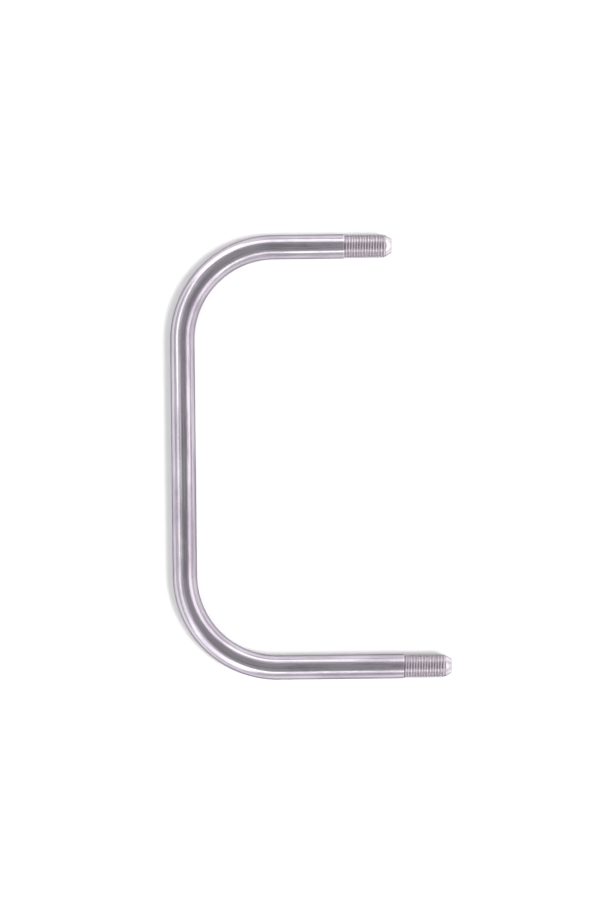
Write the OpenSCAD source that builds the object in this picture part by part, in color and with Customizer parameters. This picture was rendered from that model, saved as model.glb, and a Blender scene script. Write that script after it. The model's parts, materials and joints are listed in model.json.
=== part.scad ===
// U-shaped high-pressure tube. Both ends are coned and threaded for a gland nut and collar.
// The U lies flat on its side: the bar runs along Y and both legs point to +X.
// Z = 0 is the surface that the tube lies on, below the middle of its overall length and width.

/* [Tube] */
// Outside diameter of the tube
tube_od = 9.525; // [8.5:0.025:12.7]
// Diameter of the bore
bore_d = 3.175; // [1.6:0.025:4.5]
// Bend radius, measured on the tube's centreline
bend_r = 36.5; // [20:0.5:55]

/* [U shape] */
// Distance between the centrelines of the two legs
leg_spacing = 165.5; // [125:0.1:260]
// Reach of the short leg, from the bar's centreline to the end face
short_reach = 82.8; // [79:0.1:200]
// Reach of the long leg, from the bar's centreline to the end face
long_reach = 104.6; // [79:0.1:260]

/* [Threaded ends] */
// Length of the turned end, from the shoulder to the end face
end_len = 19.05; // [12:0.05:24]
// Number of threads in 25.4 mm of length
threads_per_inch = 24; // [18:1:32]
// How much smaller the diameter over the thread crests is than the tube
crest_relief = 0.125; // [0.05:0.005:0.4]
// Included angle of the sealing cone, in degrees
cone_angle = 59; // [56:1:62]
// Diameter of the flat end face, where the cone stops
face_d = 5.56; // [5:0.02:7]

/* [Hidden] */
$fn = 96;

// Thread form: a 60 degree V with a flat crest and a flat root, as shares of the pitch
inch = 25.4;
flank_angle = 30;
thread_od = tube_od - crest_relief;
pitch = inch / threads_per_inch;
crest_flat = pitch / 8;
root_flat = pitch / 4;
thread_depth = (pitch - crest_flat - root_flat) / 2 / tan(flank_angle);
root_r = thread_od / 2 - thread_depth;

// Turned end: the cone runs from the face out to the crests, and the threads fill the rest
cone_len = (thread_od - face_d) / 2 / tan(cone_angle / 2);
root_cone_len = (root_r - face_d / 2) / tan(cone_angle / 2);
groove_count = floor((end_len - root_cone_len) / pitch);

// Centrelines in the flat frame
centre_x = (long_reach - tube_od / 2) / 2;
bar_x = -centre_x;
leg_y = leg_spacing / 2;
axis_z = tube_od / 2;
bar_len = leg_spacing - 2 * bend_r;

// Plain straight length of a leg, between the bend and the shoulder
function shank_len(reach) = reach - bend_r - end_len;

// A straight round bar along +X, that starts at the given place
module rod_x(d, len) {
  rotate([0, 90, 0]) cylinder(d = d, h = len);
}

// One quarter bend, from the end of the bar round to the start of a leg; side is 1 or -1
module quarter_bend(d, side) {
  translate([bar_x + bend_r, side * (leg_y - bend_r), axis_z])
    rotate([0, 0, side > 0 ? 90 : 180])
      rotate_extrude(angle = 90)
        translate([bend_r, 0]) circle(d = d);
}

// Everything inside one diameter along the whole bent centreline, shoulder to shoulder
module bent_rod(d) {
  translate([bar_x, -bar_len / 2, axis_z]) rotate([-90, 0, 0]) cylinder(d = d, h = bar_len);
  quarter_bend(d, 1);
  quarter_bend(d, -1);
  translate([bar_x + bend_r, leg_y, axis_z]) rod_x(d, shank_len(short_reach));
  translate([bar_x + bend_r, -leg_y, axis_z]) rod_x(d, shank_len(long_reach));
}

// Outline of one thread groove: x is the radius, y the distance back from the end face
module groove_outline() {
  half_root = root_flat / 2;
  half_mouth = (pitch - crest_flat) / 2;
  polygon([
    [root_r, -half_root],
    [thread_od / 2, -half_mouth],
    [tube_od / 2 + pitch, -half_mouth],
    [tube_od / 2 + pitch, half_mouth],
    [thread_od / 2, half_mouth],
    [root_r, half_root],
  ]);
}

// Half section of a turned end: flat face, cone, crests, with the bore left open
module end_outline() {
  polygon([
    [bore_d / 2, 0],
    [face_d / 2, 0],
    [thread_od / 2, cone_len],
    [thread_od / 2, end_len],
    [bore_d / 2, end_len],
  ]);
}

// A turned end, with its face at the origin looking along +X
module turned_end() {
  rotate([0, -90, 0])
    rotate_extrude()
      difference() {
        end_outline();
        for (i = [0 : groove_count - 1])
          translate([0, end_len - (i + 0.5) * pitch]) groove_outline();
      }
}

// The drawn tube: short leg, bend, bar, bend and long leg in one length
module bent_tube() {
  color("silver")
    difference() {
      bent_rod(tube_od);
      bent_rod(bore_d);
    }
}

// Thread and cone of the short leg
module short_end() {
  color("gainsboro")
    translate([bar_x + short_reach, leg_y, axis_z]) turned_end();
}

// Thread and cone of the long leg
module long_end() {
  color("gainsboro")
    translate([bar_x + long_reach, -leg_y, axis_z]) turned_end();
}

bent_tube();
short_end();
long_end();
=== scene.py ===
"""Looks of a U-shaped high-pressure tube whose two ends are coned and threaded.

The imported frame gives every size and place. The drawn tube and its two turned ends are modelled
around it in metres, in the frame's own axes, given their steel finishes and set in a small studio.
"""

import json
import math

import bmesh
import bpy
from bpy.props import FloatProperty, FloatVectorProperty, IntProperty, PointerProperty
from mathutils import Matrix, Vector


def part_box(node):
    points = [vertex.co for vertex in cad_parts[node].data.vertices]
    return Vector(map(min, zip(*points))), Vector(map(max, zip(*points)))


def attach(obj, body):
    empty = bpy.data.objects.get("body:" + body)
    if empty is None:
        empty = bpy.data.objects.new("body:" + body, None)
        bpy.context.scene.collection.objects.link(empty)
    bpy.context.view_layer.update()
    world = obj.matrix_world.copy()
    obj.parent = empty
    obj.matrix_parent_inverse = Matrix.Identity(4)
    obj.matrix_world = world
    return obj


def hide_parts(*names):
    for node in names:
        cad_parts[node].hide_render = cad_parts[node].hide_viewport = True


bl_info = {
    "name": "Coned and Threaded U Tube",
    "version": (1, 0, 0),
    "blender": (4, 5, 0),
    "location": "3D View > Sidebar > U Tube",
    "description": "Models and finishes a bent high-pressure tube with coned and threaded ends",
    "category": "Object",
}

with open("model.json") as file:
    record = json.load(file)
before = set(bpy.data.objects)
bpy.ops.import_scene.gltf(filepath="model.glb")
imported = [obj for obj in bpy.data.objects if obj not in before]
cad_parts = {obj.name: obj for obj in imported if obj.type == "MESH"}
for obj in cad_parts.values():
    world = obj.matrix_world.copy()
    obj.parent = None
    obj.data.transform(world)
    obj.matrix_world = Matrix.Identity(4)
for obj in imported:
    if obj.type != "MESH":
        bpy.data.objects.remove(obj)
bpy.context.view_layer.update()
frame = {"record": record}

MM = 0.001
INCH = 0.0254
MERGE_REACH = 0.0002 * MM
SMOOTH_ANGLE = math.radians(32)
MOUNTS = {mount["name"]: mount for mount in frame["record"]["mounts"]}


def mount_size(name, key):
    """One of a mount's sizes, in metres."""
    return MOUNTS[name]["dims"][key] * MM


SHORT_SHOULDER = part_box("short_end")[0].x
SHORT_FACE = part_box("short_end")[1].x
LONG_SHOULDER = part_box("long_end")[0].x
LONG_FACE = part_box("long_end")[1].x
TUBE_RADIUS = mount_size("short_shank", "r_mm")
BAR_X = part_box("bent_tube")[0].x + TUBE_RADIUS
BEND_RADIUS = SHORT_SHOULDER - mount_size("short_shank", "length_mm") - BAR_X
LEG_Y = MOUNTS["short_shank"]["pos_m"][1]
AXIS_Z = MOUNTS["short_shank"]["pos_m"][2]


def length(name, description, default):
    """A property that is a length in metres."""
    return FloatProperty(name=name, description=description, default=default, unit="LENGTH")


def share(name, description, default):
    """A property from 0 to 1."""
    return FloatProperty(
        name=name, description=description, default=default, min=0, max=1, subtype="FACTOR"
    )


def colour(name, description, default):
    """A property that is a colour."""
    return FloatVectorProperty(
        name=name, description=description, default=default, size=3, min=0, max=1, subtype="COLOR"
    )


class TubeSizes(bpy.types.PropertyGroup):
    """Sizes of the drawn tube, along its centreline and across it."""

    radius: length("Tube radius", "Outside radius of the drawn tube", TUBE_RADIUS)
    bore_radius: length(
        "Bore radius", "Radius of the water passage", mount_size("short_bore", "r_mm")
    )
    bend_radius: length("Bend radius", "Radius of both bends, on the centreline", BEND_RADIUS)
    bar_x: length("Bar place", "Place of the bar's centreline along X", BAR_X)
    leg_y: length("Leg offset", "Distance of each leg from the middle of the U", LEG_Y)
    axis_z: length("Centreline height", "Height of the centreline above the floor", AXIS_Z)
    short_shoulder: length(
        "Short shoulder", "Place along X of the short leg's shoulder", SHORT_SHOULDER
    )
    long_shoulder: length(
        "Long shoulder", "Place along X of the long leg's shoulder", LONG_SHOULDER
    )
    rim_bevel: length("Shoulder bevel", "Width of the broken edge at each shoulder", 0.05 * MM)
    around: IntProperty(
        name="Facets around", description="Number of faces round the tube", default=96, min=24
    )
    bend_steps: IntProperty(
        name="Steps in a bend", description="Rings of faces along each bend", default=64, min=12
    )


class TurnedEndSizes(bpy.types.PropertyGroup):
    """Sizes of the thread and the cone that are turned on each end."""

    short_face: length("Short face", "Place along X of the short leg's end face", SHORT_FACE)
    long_face: length("Long face", "Place along X of the long leg's end face", LONG_FACE)
    crest_radius: length(
        "Crest radius", "Radius over the thread crests", mount_size("short_thread", "r_mm")
    )
    face_radius: length(
        "Face radius", "Outside radius of the end face", mount_size("short_cone", "r_mm")
    )
    cone_length: length(
        "Cone length",
        "Length of the cone, from the end face to the crests",
        mount_size("short_cone", "length_mm"),
    )
    pitch: length("Thread pitch", "Distance from one thread to the next", INCH / 24)
    crest_round: length("Crest rounding", "Depth over which the crests are rounded", 0.057 * MM)
    flank_angle: FloatProperty(
        name="Flank angle",
        description="Angle of each thread flank from square to the axis",
        default=math.radians(30),
        subtype="ANGLE",
    )
    short_phase: share("Short thread's start", "Turn at which the short leg's thread starts", 0.75)
    long_phase: share("Long thread's start", "Turn at which the long leg's thread starts", 0.46)
    runout: length("Run-out", "Length over which the thread fades out at the shoulder", 0.5 * MM)
    edge_bevel: length("Edge bevel", "Width of the broken edges of the end face", 0.12 * MM)


class SteelFinish(bpy.types.PropertyGroup):
    """Colours and gloss of the drawn tube and of the turned ends, with painted shade in the thread
    roots, in the bore and at glancing edges.
    """

    drawn_colour: colour("Drawn steel", "The clean drawn surface", (0.58, 0.54, 0.60))
    drawn_stain: colour("Dull drawn steel", "Duller patches and draw lines", (0.42, 0.38, 0.44))
    turned_colour: colour("Turned steel", "The freshly turned surface", (0.77, 0.73, 0.77))
    # Painted shade: a darker colour down in the thread roots stands in for the shade in the grooves.
    root_shade_colour: colour("Thread roots", "Darker metal at the bottom of a thread", (0.46, 0.41, 0.47))
    # Painted shade: the bore wall gets a dark colour that stands in for the shade inside the water
    # passage.
    bore_shade_colour: colour("Bore", "The wall of the water passage", (0.22, 0.20, 0.23))
    # Painted shade: a dark edge tint darkens what the steel reflects at a glancing angle, along the
    # outline.
    edge_shade_colour: colour("Edges", "What the steel reflects at a glancing angle", (0.25, 0.23, 0.26))
    drawn_roughness: share("Drawn roughness", "Roughness of the drawn surface", 0.19)
    turned_roughness: share("Turned roughness", "Roughness of the turned surface", 0.24)
    root_roughness: share("Root roughness", "Roughness of the thread roots", 0.36)
    line_depth: length("Draw line depth", "Depth of the lines along the tube", 0.009 * MM)
    ring_depth: length("Tool ring depth", "Depth of the rings on the turned ends", 0.003 * MM)


class StudioSettings(bpy.types.PropertyGroup):
    """The floor, the soft light and the camera."""

    floor_size: length("Floor size", "Length of each side of the floor", 12.0)
    floor_colour: colour("Floor", "Colour of the pale floor", (0.74, 0.74, 0.74))
    overhead_light: FloatProperty(
        name="Overhead light", description="Brightness of the room overhead", default=0.39, min=0
    )
    middle_light: FloatProperty(
        name="Middle light", description="Brightness of the room half way up", default=0.50, min=0
    )
    horizon_light: FloatProperty(
        name="Horizon light", description="Brightness of the room round the floor", default=0.80, min=0
    )
    box_light: FloatProperty(
        name="Softbox light", description="Brightness of all the softboxes together", default=1.0, min=0
    )
    key_light: FloatProperty(
        name="Floor light", description="Strength of the lamp that lights the floor", default=2.4, min=0
    )
    camera_height: length("Camera height", "Height of the camera above the centreline", 1.5)
    view_height: length("View height", "Length along Y that the picture covers", 354.3 * MM)
    camera_roll: FloatProperty(
        name="Camera roll",
        description="Turn of the camera about its line of sight",
        default=math.radians(-0.645),
        subtype="ANGLE",
    )
    aim_from_bar: length("Aim across", "Distance of the picture's middle from the bar", 45.84 * MM)
    aim_y: length("Aim along", "Place of the picture's middle along Y", 2.81 * MM)


# ---------------------------------------------------------------- mesh tools


def near(value, place, reach=0.01 * MM):
    """Is a coordinate at this place?"""
    return abs(value - place) < reach


def work_on(piece):
    """Makes a piece the only selected object and the active one."""
    bpy.ops.object.select_all(action="DESELECT")
    piece.select_set(True)
    bpy.context.view_layer.objects.active = piece


def add_ring(centre, radius, around):
    """Adds a ring of edges square to X: a new object, or more of the mesh in edit mode."""
    bpy.ops.mesh.primitive_circle_add(
        vertices=around, radius=radius, location=centre, rotation=(0, math.pi / 2, 0)
    )


def start_ring(name, centre, radius, around):
    """A new piece that is one ring square to X, at the origin and open in edit mode."""
    bpy.ops.object.select_all(action="DESELECT")
    add_ring(centre, radius, around)
    piece = bpy.context.object
    piece.name = name
    piece.data.name = name
    bpy.ops.object.transform_apply(location=True, rotation=True, scale=True)
    bpy.ops.object.mode_set(mode="EDIT")
    bpy.ops.mesh.select_all(action="SELECT")
    return piece


def extrude(*offset):
    """Draws the selected edges along by an offset."""
    bpy.ops.mesh.extrude_region_move(TRANSFORM_OT_translate={"value": offset})


def quarter_turn(centre, steps):
    """Draws the selected edges a quarter turn round an upright line, anticlockwise from above."""
    bpy.ops.mesh.spin(steps=steps, angle=math.pi / 2, center=centre, axis=(0, 0, -1))


def resize_ring(factor, centre):
    """Scales the selected ring about a leg's axis, which runs along X."""
    bpy.ops.transform.resize(value=(1, factor, factor), center_override=centre)


def radius_at(place, axis):
    """Distance of a place from an axis that runs along X."""
    return math.hypot(place.y - axis.y, place.z - axis.z)


def select_ring(piece, axis, x, low=0.0, high=1.0):
    """Selects the ring edges square to X at this place whose radius is between low and high."""
    bpy.ops.mesh.select_all(action="DESELECT")
    bpy.ops.mesh.select_mode(type="EDGE")
    mesh = bmesh.from_edit_mesh(piece.data)
    for edge in mesh.edges:
        first, last = (radius_at(vertex.co, axis) for vertex in edge.verts)
        level = all(near(vertex.co.x, x) for vertex in edge.verts)
        if level and near(first, last) and low < first < high:
            edge.select_set(True)
    bmesh.update_edit_mesh(piece.data)


def close_up(piece):
    """Merges doubles, closes slits, turns faces outwards, leaves edit mode and shades smooth."""
    bpy.ops.mesh.select_all(action="SELECT")
    bpy.ops.mesh.remove_doubles(threshold=MERGE_REACH)
    bpy.ops.mesh.select_all(action="SELECT")
    bpy.ops.mesh.delete_loose(use_verts=True, use_edges=True, use_faces=False)
    bpy.ops.mesh.select_all(action="SELECT")
    bpy.ops.mesh.fill_holes(sides=8)
    bpy.ops.mesh.select_all(action="SELECT")
    bpy.ops.mesh.normals_make_consistent(inside=False)
    bpy.ops.object.mode_set(mode="OBJECT")
    work_on(piece)
    bpy.ops.object.shade_smooth_by_angle(angle=SMOOTH_ANGLE)


# ---------------------------------------------------------------- shader tools


class Value:
    """A shader socket that Python's own operators work on, each as a Math node."""

    def __init__(self, shader, socket):
        self.shader = shader
        self.socket = socket

    def math(self, operation, first, second=0.0):
        settings = {"operation": operation}
        return self.shader.node("ShaderNodeMath", settings, {0: first, 1: second})

    def __add__(self, other):
        return self.math("ADD", self, other)

    def __radd__(self, other):
        return self.math("ADD", other, self)

    def __sub__(self, other):
        return self.math("SUBTRACT", self, other)

    def __rsub__(self, other):
        return self.math("SUBTRACT", other, self)

    def __mul__(self, other):
        return self.math("MULTIPLY", self, other)

    def __rmul__(self, other):
        return self.math("MULTIPLY", other, self)

    def __pow__(self, other):
        return self.math("POWER", self, other)

    def __abs__(self):
        return self.math("ABSOLUTE", self)


class Shader:
    """A node tree that is built one call to a node."""

    def __init__(self, tree):
        self.tree = tree
        self.tree.nodes.clear()

    def node(self, kind, settings=None, inputs=None, output=0):
        """One node: its settings go first, then the values or links of its inputs."""
        made = self.tree.nodes.new(kind)
        settings = dict(settings or {})
        stops = settings.pop("stops", None)
        for key, value in settings.items():
            setattr(made, key, value)
        if stops:
            set_stops(made.color_ramp, stops)
        for key, value in (inputs or {}).items():
            if isinstance(value, Value):
                self.tree.links.new(value.socket, made.inputs[key])
            else:
                made.inputs[key].default_value = value
        return Value(self, made.outputs[output]) if made.outputs else None

    def parts(self, vector):
        """The three parts of a vector."""
        return [self.node("ShaderNodeSeparateXYZ", inputs={0: vector}, output=i) for i in range(3)]

    def noise(self, vector, scale, detail=3.0, roughness=0.5):
        """Soft noise from 0 to 1. The scale is one number, or one for each axis."""
        if isinstance(scale, tuple):
            vector = self.node("ShaderNodeMapping", inputs={"Vector": vector, "Scale": scale})
            scale = 1.0
        inputs = {"Vector": vector, "Scale": scale, "Detail": detail, "Roughness": roughness}
        return self.node("ShaderNodeTexNoise", inputs=inputs)

    def line_noise(self, value, scale, detail=3.0):
        """Noise that depends on one value only, so it makes lines or rings."""
        inputs = {"W": value, "Scale": scale, "Detail": detail}
        return self.node("ShaderNodeTexNoise", {"noise_dimensions": "1D"}, inputs)

    def band(self, value, low, high):
        """0 below low, 1 above high and a smooth step between."""
        settings = {"interpolation_type": "SMOOTHSTEP"}
        inputs = {"Value": value, "From Min": low, "From Max": high}
        return self.node("ShaderNodeMapRange", settings, inputs)

    def blend(self, factor, first, second):
        """A colour between two others."""
        inputs = {0: factor}
        for key, value in ((6, first), (7, second)):
            inputs[key] = value if isinstance(value, Value) else (*value, 1.0)
        return self.node("ShaderNodeMix", {"data_type": "RGBA"}, inputs, output=2)

    def bump(self, height, distance):
        """A surface normal that follows a height, which is 0 to 1 of the distance."""
        return self.node("ShaderNodeBump", inputs={"Height": height, "Distance": distance})


def set_stops(ramp, stops):
    """Gives a colour ramp these (place, grey) stops."""
    while len(ramp.elements) < len(stops):
        ramp.elements.new(1.0)
    for element, (place, grey) in zip(ramp.elements, stops):
        element.position = place
        element.color = (grey, grey, grey, 1.0)


def new_material(name):
    """An empty material and the shader that builds it."""
    material = bpy.data.materials.new(name)
    material.use_nodes = True
    return material, Shader(material.node_tree)


def bare_metal(shader, edge, tint, roughness, normal):
    """Ends a material as bare metal, whose edge colour is what it reflects at a glancing angle. That
    edge colour is dark: painted shade along the outline.
    """
    inputs = {
        "Base Color": tint,
        "Metallic": 1.0,
        "Roughness": roughness,
        # The dark edge tint is painted shade along the outline.
        "Specular Tint": (*edge, 1.0),
        "Normal": normal,
    }
    surface = shader.node("ShaderNodeBsdfPrincipled", inputs=inputs)
    shader.node("ShaderNodeOutputMaterial", inputs={"Surface": surface})


# ---------------------------------------------------------------- drawn tube


def along_tube(place, sizes):
    """(outward, up, along): a place across the tube, and how far along it from the bar's middle."""
    straight = sizes.leg_y - sizes.bend_radius
    tangent_x = sizes.bar_x + sizes.bend_radius
    side = math.copysign(1, place.y)
    across = abs(place.y) - straight
    up = place.z - sizes.axis_z
    quarter = sizes.bend_radius * math.pi / 2
    if across <= 0:
        return (sizes.bar_x - place.x, up, place.y)
    if place.x >= tangent_x:
        return (abs(place.y) - sizes.leg_y, up, side * (straight + quarter + place.x - tangent_x))
    turned = math.atan2(across, tangent_x - place.x)
    outward = math.hypot(across, tangent_x - place.x) - sizes.bend_radius
    return (outward, up, side * (straight + turned * sizes.bend_radius))


def model_tube(sizes):
    """The tube and its bore: two rings drawn from the short shoulder round to the long one."""
    tangent_x = sizes.bar_x + sizes.bend_radius
    straight = sizes.leg_y - sizes.bend_radius
    short_axis = Vector((sizes.short_shoulder, sizes.leg_y, sizes.axis_z))
    long_axis = Vector((sizes.long_shoulder, -sizes.leg_y, sizes.axis_z))
    tube = start_ring("tube_body", short_axis, sizes.radius, sizes.around)
    add_ring(short_axis, sizes.bore_radius, sizes.around)
    bpy.ops.mesh.select_all(action="SELECT")
    extrude(tangent_x - short_axis.x, 0, 0)
    quarter_turn((tangent_x, straight, sizes.axis_z), sizes.bend_steps)
    extrude(0, -2 * straight, 0)
    quarter_turn((tangent_x, -straight, sizes.axis_z), sizes.bend_steps)
    extrude(long_axis.x - tangent_x, 0, 0)
    for axis in (short_axis, long_axis):
        outer_rim = {"low": 0.9 * sizes.radius, "high": 2 * sizes.radius}
        select_ring(tube, axis, axis.x, **outer_rim)
        extrude(0, 0, 0)
        resize_ring(sizes.bore_radius / sizes.radius, axis)
        select_ring(tube, axis, axis.x, **outer_rim)
        bpy.ops.mesh.bevel(offset=sizes.rim_bevel, segments=2, affect="EDGES")
    close_up(tube)
    line = tube.data.attributes.new("draw_line", "FLOAT_VECTOR", "POINT")
    for vertex, entry in zip(tube.data.vertices, line.data):
        entry.vector = along_tube(vertex.co, sizes)
    return tube


def drawn_steel(finish, sizes):
    """Cold drawn stainless steel: lines along the tube, faint mottling, a grainier skin on bends."""
    material, shader = new_material("drawn_steel")
    place = shader.node("ShaderNodeAttribute", {"attribute_name": "draw_line"}, output=1)
    outward, up, along = shader.parts(place)
    streaks = shader.noise(place, (1700, 1700, 24), 5.0, 0.62)
    hairlines = shader.noise(place, (6500, 6500, 60), 2.0)
    mottle = shader.noise(place, (150, 150, 55), 4.0, 0.6)
    grain = shader.noise(place, 2400.0, 3.0)
    straight = sizes.leg_y - sizes.bend_radius
    bend_end = straight + sizes.bend_radius * math.pi / 2
    margin = 6 * MM
    middle = abs(along)
    entered = shader.band(middle, straight - margin, straight + margin)
    left = shader.band(middle, bend_end - margin, bend_end + margin)
    on_bend = entered - left
    dull = shader.band(streaks * 0.6 + mottle * 0.4, 0.45, 0.58)
    tint = shader.blend(dull, finish.drawn_colour, finish.drawn_stain)
    radius = (outward * outward + up * up) ** 0.5
    in_bore = 1 - shader.band(radius, sizes.bore_radius * 1.05, sizes.bore_radius * 1.2)
    # Painted shade: the bore is darkened. It is also made rougher.
    tint = shader.blend(in_bore, tint, finish.bore_shade_colour)
    roughness = finish.drawn_roughness + (streaks - 0.5) * 0.30 + (mottle - 0.5) * 0.16
    roughness = roughness + on_bend * grain * 0.06 + in_bore * 0.25
    height = streaks * 0.65 + hairlines * 0.25 + on_bend * grain * 0.5
    normal = shader.bump(height, finish.line_depth)
    bare_metal(shader, finish.edge_shade_colour, tint, roughness, normal)
    return material


class UTUBE_OT_drawn_tube(bpy.types.Operator):
    """Models the bent tube and gives it its drawn finish"""

    bl_idname = "utube.drawn_tube"
    bl_label = "Drawn Tube"

    def execute(self, context):
        sizes = context.scene.utube_sizes
        tube = model_tube(sizes)
        tube.data.materials.append(drawn_steel(context.scene.utube_finish, sizes))
        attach(tube, "root")
        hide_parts("bent_tube")
        return {"FINISHED"}


# ---------------------------------------------------------------- turned ends


def turned_blank(name, axis, face_x, sizes, ends):
    """The end before it is threaded: a cylinder, its cone, the flat face and the bore."""
    cone_x = face_x - ends.cone_length
    blank = start_ring(name, axis, ends.crest_radius, sizes.around)
    extrude(cone_x - axis.x, 0, 0)
    extrude(face_x - cone_x, 0, 0)
    resize_ring(ends.face_radius / ends.crest_radius, axis)
    extrude(0, 0, 0)
    resize_ring(sizes.bore_radius / ends.face_radius, axis)
    extrude(axis.x - face_x, 0, 0)
    extrude(0, 0, 0)
    resize_ring(ends.crest_radius / sizes.bore_radius, axis)
    select_ring(blank, axis, face_x)
    bpy.ops.mesh.bevel(offset=ends.edge_bevel, segments=3, affect="EDGES")
    close_up(blank)
    return blank


def thread_depth(ends):
    """Depth of the thread, from its crests to its flat roots."""
    return (ends.pitch * 5 / 8) / 2 / math.tan(ends.flank_angle)


def thread_section(axis, start_x, ends):
    """One turn's cross-section of the thread cutter, above the axis. It rounds off the crests."""
    depth = thread_depth(ends)
    slope = math.tan(ends.flank_angle)
    half_root = ends.pitch / 8
    half_flank = half_root + (depth - ends.crest_round) * slope
    half_corner = half_flank + ends.crest_round * slope * 0.85
    half_top = half_corner + 0.058 * MM
    above_crest = 0.008 * MM
    right = [
        (half_root, -depth),
        (half_flank, -ends.crest_round),
        (half_corner, -0.45 * ends.crest_round),
        (half_top, above_crest),
    ]
    left = [(-across, height) for across, height in reversed(right)]
    bpy.ops.object.select_all(action="DESELECT")
    bpy.ops.mesh.primitive_circle_add(vertices=8, location=axis)
    cutter = bpy.context.object
    cutter.name = "thread_cutter"
    for vertex, (across, height) in zip(cutter.data.vertices, right + left):
        vertex.co = (start_x - axis.x + across, 0, ends.crest_radius + height)
    return cutter


def thread_cutter(axis, face_x, phase, sizes, ends):
    """A left-hand helical cutter. It lifts clear of the metal as it nears the shoulder."""
    turns = math.ceil((face_x - axis.x) / ends.pitch)
    start_x = axis.x + (phase - 1) * ends.pitch
    cutter = thread_section(axis, start_x, ends)
    full_lift = thread_depth(ends) + 0.03 * MM
    bpy.ops.object.modifier_add(type="SCREW")
    screw = cutter.modifiers[-1]
    screw.axis = "X"
    screw.angle = -2 * math.pi
    screw.screw_offset = ends.pitch
    screw.iterations = turns
    screw.steps = sizes.around
    screw.render_steps = sizes.around
    bpy.ops.object.modifier_apply(modifier=screw.name)
    bpy.ops.object.transform_apply(location=True, rotation=True, scale=True)
    bpy.ops.object.mode_set(mode="EDIT")
    bpy.ops.mesh.select_all(action="SELECT")
    bpy.ops.mesh.normals_make_consistent(inside=False)
    for side in ("start", "end"):
        bpy.ops.mesh.select_all(action="DESELECT")
        bpy.ops.mesh.select_mode(type="VERT")
        mesh = bmesh.from_edit_mesh(cutter.data)
        places = [vertex.co.x for vertex in mesh.verts]
        for vertex in mesh.verts:
            open_end = any(edge.is_boundary for edge in vertex.link_edges)
            first = vertex.co.x < (min(places) + max(places)) / 2
            vertex.select = open_end and first == (side == "start")
        mesh.select_flush_mode()
        bmesh.update_edit_mesh(cutter.data)
        bpy.ops.mesh.edge_face_add()
    mesh = bmesh.from_edit_mesh(cutter.data)
    for vertex in mesh.verts:
        faded = 1 - min(max((vertex.co.x - axis.x) / ends.runout, 0), 1)
        radius = radius_at(vertex.co, axis)
        grown = (radius + faded * full_lift) / radius
        vertex.co.y = axis.y + (vertex.co.y - axis.y) * grown
        vertex.co.z = axis.z + (vertex.co.z - axis.z) * grown
    bmesh.update_edit_mesh(cutter.data)
    bpy.ops.mesh.select_all(action="SELECT")
    bpy.ops.mesh.normals_make_consistent(inside=False)
    bpy.ops.object.mode_set(mode="OBJECT")
    return cutter


def model_turned_end(name, axis, face_x, phase, sizes, ends):
    """A coned and threaded end: the blank with the thread cut out of it."""
    blank = turned_blank(name, axis, face_x, sizes, ends)
    cutter = thread_cutter(axis, face_x, phase, sizes, ends)
    work_on(blank)
    bpy.ops.object.modifier_add(type="BOOLEAN")
    cut = blank.modifiers[-1]
    cut.operation = "DIFFERENCE"
    cut.solver = "EXACT"
    cut.object = cutter
    bpy.ops.object.modifier_apply(modifier=cut.name)
    work_on(cutter)
    bpy.ops.object.delete()
    work_on(blank)
    bpy.ops.object.mode_set(mode="EDIT")
    select_ring(blank, axis, face_x - ends.cone_length)
    bpy.ops.mesh.mark_sharp()
    close_up(blank)
    return blank


def turned_steel(finish, sizes, ends):
    """Freshly turned steel: rings from the tool, rougher metal down in the thread, and painted shade
    there that makes it darker.
    """
    material, shader = new_material("turned_steel")
    place = shader.node("ShaderNodeTexCoord", output=3)
    x, y, z = shader.parts(place)
    across = abs(y) - sizes.leg_y
    up = z - sizes.axis_z
    radius = (across * across + up * up) ** 0.5
    rings = shader.line_noise(x + radius * 1.3, 9000.0, 3.0)
    feed = shader.line_noise(x + radius * 1.3, 2600.0, 1.0)
    smears = shader.noise(place, (900, 260, 260), 4.0, 0.6)
    crest = ends.crest_radius
    depth = thread_depth(ends)
    on_thread = shader.band(radius, crest - depth * 1.15, crest - depth * 0.95)
    # Mask of the thread roots, which get painted shade and more roughness.
    low = on_thread * (1 - shader.band(radius, crest - depth * 0.8, crest - depth * 0.25))
    in_bore = 1 - shader.band(radius, sizes.bore_radius * 1.03, sizes.bore_radius * 1.1)
    worn = shader.band(smears * 0.6 + rings * 0.4, 0.42, 0.66)
    dull = tuple(0.86 * part for part in finish.turned_colour)
    tint = shader.blend(worn, finish.turned_colour, dull)
    # Painted shade: the thread roots are darkened.
    tint = shader.blend(low * 0.85, tint, finish.root_shade_colour)
    # Painted shade: the bore is darkened.
    tint = shader.blend(in_bore, tint, finish.bore_shade_colour)
    root_extra = finish.root_roughness - finish.turned_roughness
    roughness = finish.turned_roughness + (rings - 0.5) * 0.18 + (smears - 0.5) * 0.10
    roughness = roughness + low * root_extra + in_bore * 0.25
    height = rings * 0.6 + feed * 0.4
    normal = shader.bump(height, finish.ring_depth)
    bare_metal(shader, finish.edge_shade_colour, tint, roughness, normal)
    return material


class UTUBE_OT_turned_ends(bpy.types.Operator):
    """Models the coned and threaded ends of both legs and gives them their turned finish"""

    bl_idname = "utube.turned_ends"
    bl_label = "Turned Ends"

    def execute(self, context):
        sizes = context.scene.utube_sizes
        ends = context.scene.utube_ends
        steel = turned_steel(context.scene.utube_finish, sizes, ends)
        short_axis = Vector((sizes.short_shoulder, sizes.leg_y, sizes.axis_z))
        long_axis = Vector((sizes.long_shoulder, -sizes.leg_y, sizes.axis_z))
        for leg, axis, face_x, phase in (
            ("short", short_axis, ends.short_face, ends.short_phase),
            ("long", long_axis, ends.long_face, ends.long_phase),
        ):
            name = f"{leg}_threaded_end"
            end = model_turned_end(name, axis, face_x, phase, sizes, ends)
            end.data.materials.append(steel)
            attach(end, "root")
            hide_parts(f"{leg}_end")
        return {"FINISHED"}


# ---------------------------------------------------------------- studio


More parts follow.
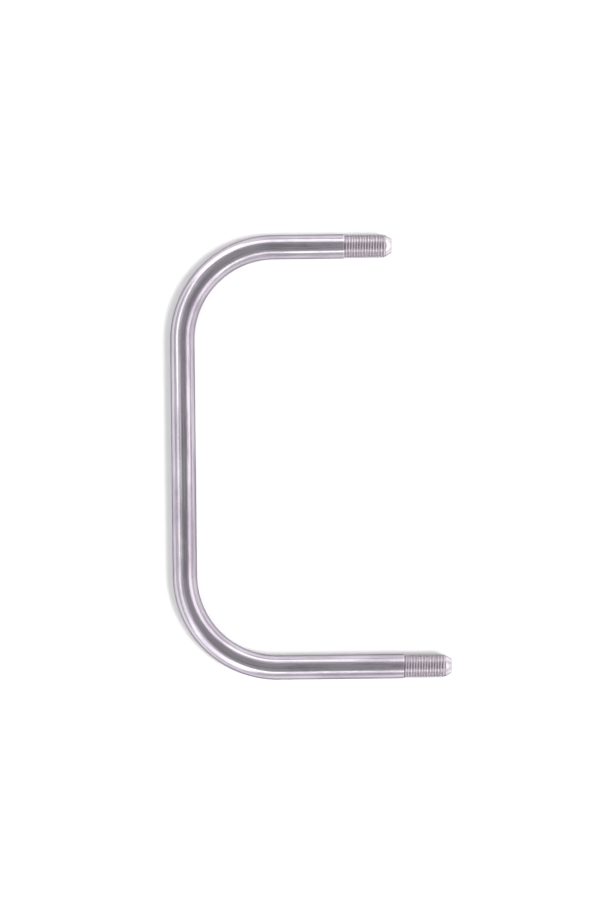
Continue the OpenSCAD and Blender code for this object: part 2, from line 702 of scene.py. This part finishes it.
def pale_floor(studio):
    """The floor that the tube lies on."""
    bpy.ops.object.select_all(action="DESELECT")
    bpy.ops.mesh.primitive_plane_add(size=studio.floor_size)
    floor = bpy.context.object
    floor.name = "floor"
    material, shader = new_material("floor_paper")
    place = shader.node("ShaderNodeTexCoord", output=3)
    fibres = shader.noise(place, 900.0, 3.0)
    tint = shader.blend(
        fibres, studio.floor_colour, tuple(0.98 * part for part in studio.floor_colour)
    )
    inputs = {"Base Color": tint, "Roughness": 0.9, "Specular IOR Level": 0.2}
    surface = shader.node("ShaderNodeBsdfPrincipled", inputs=inputs)
    shader.node("ShaderNodeOutputMaterial", inputs={"Surface": surface})
    floor.data.materials.append(material)


def room_light(scene, studio):
    """Even light from the room, darker overhead than round the floor."""
    scene.world = bpy.data.worlds.new("studio_room")
    scene.world.use_nodes = True
    shader = Shader(scene.world.node_tree)
    direction = shader.node("ShaderNodeTexCoord", output=0)
    height = shader.parts(direction)[2]
    settings = {
        "stops": (
            (0.0, studio.horizon_light),
            (0.2, studio.horizon_light),
            (0.75, studio.middle_light),
            (0.97, studio.overhead_light),
        )
    }
    level = shader.node("ShaderNodeValToRGB", settings, {"Fac": height})
    background = shader.node("ShaderNodeBackground", inputs={"Color": level})
    shader.node("ShaderNodeOutputWorld", inputs={"Surface": background})


# Each softbox: azimuth and zenith angle in degrees, width and height in metres, brightness
SOFTBOXES = {
    "far": (90, 65, 1.5, 0.46, 1.25),
    "near": (-90, 51, 1.3, 0.30, 1.60),
    "left": (180, 53, 1.3, 0.30, 1.55),
    "left_overhead": (180, 30, 0.9, 0.34, 0.45),
    "right": (0, 52, 2.2, 0.60, 1.02),
    "far_left": (124, 76, 0.62, 0.60, 1.30),
    "near_left": (-125, 60, 0.7, 0.80, 1.10),
}


def add_lamp(kind, name, azimuth, zenith):
    """A lamp 1 metre from the middle of the tube, which it faces."""
    turned = math.radians(azimuth)
    tipped = math.radians(zenith)
    level = math.sin(tipped)
    away = Vector((level * math.cos(turned), level * math.sin(turned), math.cos(tipped)))
    facing = away.to_track_quat("Z", "Y").to_euler()
    bpy.ops.object.light_add(type=kind, location=away, rotation=facing)
    lamp = bpy.context.object
    lamp.name = name
    lamp.visible_camera = False
    return lamp


def soft_lights(studio):
    """The ring of softboxes that the steel reflects, and one lamp for the floor's shadows."""
    for side, (azimuth, zenith, width, height, brightness) in SOFTBOXES.items():
        box = add_lamp("AREA", f"{side}_softbox", azimuth, zenith)
        box.data.shape = "RECTANGLE"
        box.data.size = width
        box.data.size_y = height
        box.data.energy = brightness * studio.box_light * math.pi * width * height
        if side == "right":
            box.data.color = (1.0, 0.94, 0.98)
    lamp = add_lamp("SUN", "floor_lamp", azimuth=-17, zenith=28)
    lamp.data.angle = math.radians(18.5)
    lamp.data.energy = studio.key_light
    lamp.visible_glossy = False


def overhead_camera(scene, studio, sizes):
    """A camera that looks straight down on the tube."""
    aim_x = sizes.bar_x + studio.aim_from_bar
    place = (aim_x, studio.aim_y, sizes.axis_z + studio.camera_height)
    bpy.ops.object.camera_add(location=place, rotation=(0, 0, studio.camera_roll))
    camera = bpy.context.object
    camera.name = "overhead_camera"
    camera.data.lens = camera.data.sensor_width * studio.camera_height / studio.view_height
    scene.camera = camera


class UTUBE_OT_studio(bpy.types.Operator):
    """Sets the tube on a pale floor, in soft light, below the camera"""

    bl_idname = "utube.studio"
    bl_label = "Studio"

    def execute(self, context):
        scene = context.scene
        studio = scene.utube_studio
        pale_floor(studio)
        room_light(scene, studio)
        soft_lights(studio)
        overhead_camera(scene, studio, scene.utube_sizes)
        scene.view_settings.view_transform = "Standard"
        return {"FINISHED"}


class UTUBE_PT_panel(bpy.types.Panel):
    """Lists the steps that make the tube and its studio"""

    bl_idname = "UTUBE_PT_panel"
    bl_label = "U Tube"
    bl_space_type = "VIEW_3D"
    bl_region_type = "UI"
    bl_category = "U Tube"

    def draw(self, context):
        for operator in STEPS:
            self.layout.operator(operator.bl_idname)
        for group in GROUPS:
            settings = getattr(context.scene, group)
            self.layout.label(text=group.replace("utube_", "").capitalize())
            for key in settings.__annotations__:
                self.layout.prop(settings, key)


STEPS = (UTUBE_OT_drawn_tube, UTUBE_OT_turned_ends, UTUBE_OT_studio)
GROUPS = {
    "utube_sizes": TubeSizes,
    "utube_ends": TurnedEndSizes,
    "utube_finish": SteelFinish,
    "utube_studio": StudioSettings,
}


def register():
    for kind in (*GROUPS.values(), *STEPS, UTUBE_PT_panel):
        bpy.utils.register_class(kind)
    for key, kind in GROUPS.items():
        setattr(bpy.types.Scene, key, PointerProperty(type=kind))


def unregister():
    for key in GROUPS:
        delattr(bpy.types.Scene, key)
    for kind in reversed((*GROUPS.values(), *STEPS, UTUBE_PT_panel)):
        bpy.utils.unregister_class(kind)


def main():
    register()
    bpy.ops.utube.drawn_tube()
    bpy.ops.utube.turned_ends()
    bpy.ops.utube.studio()


if __name__ == "__main__":
    main()
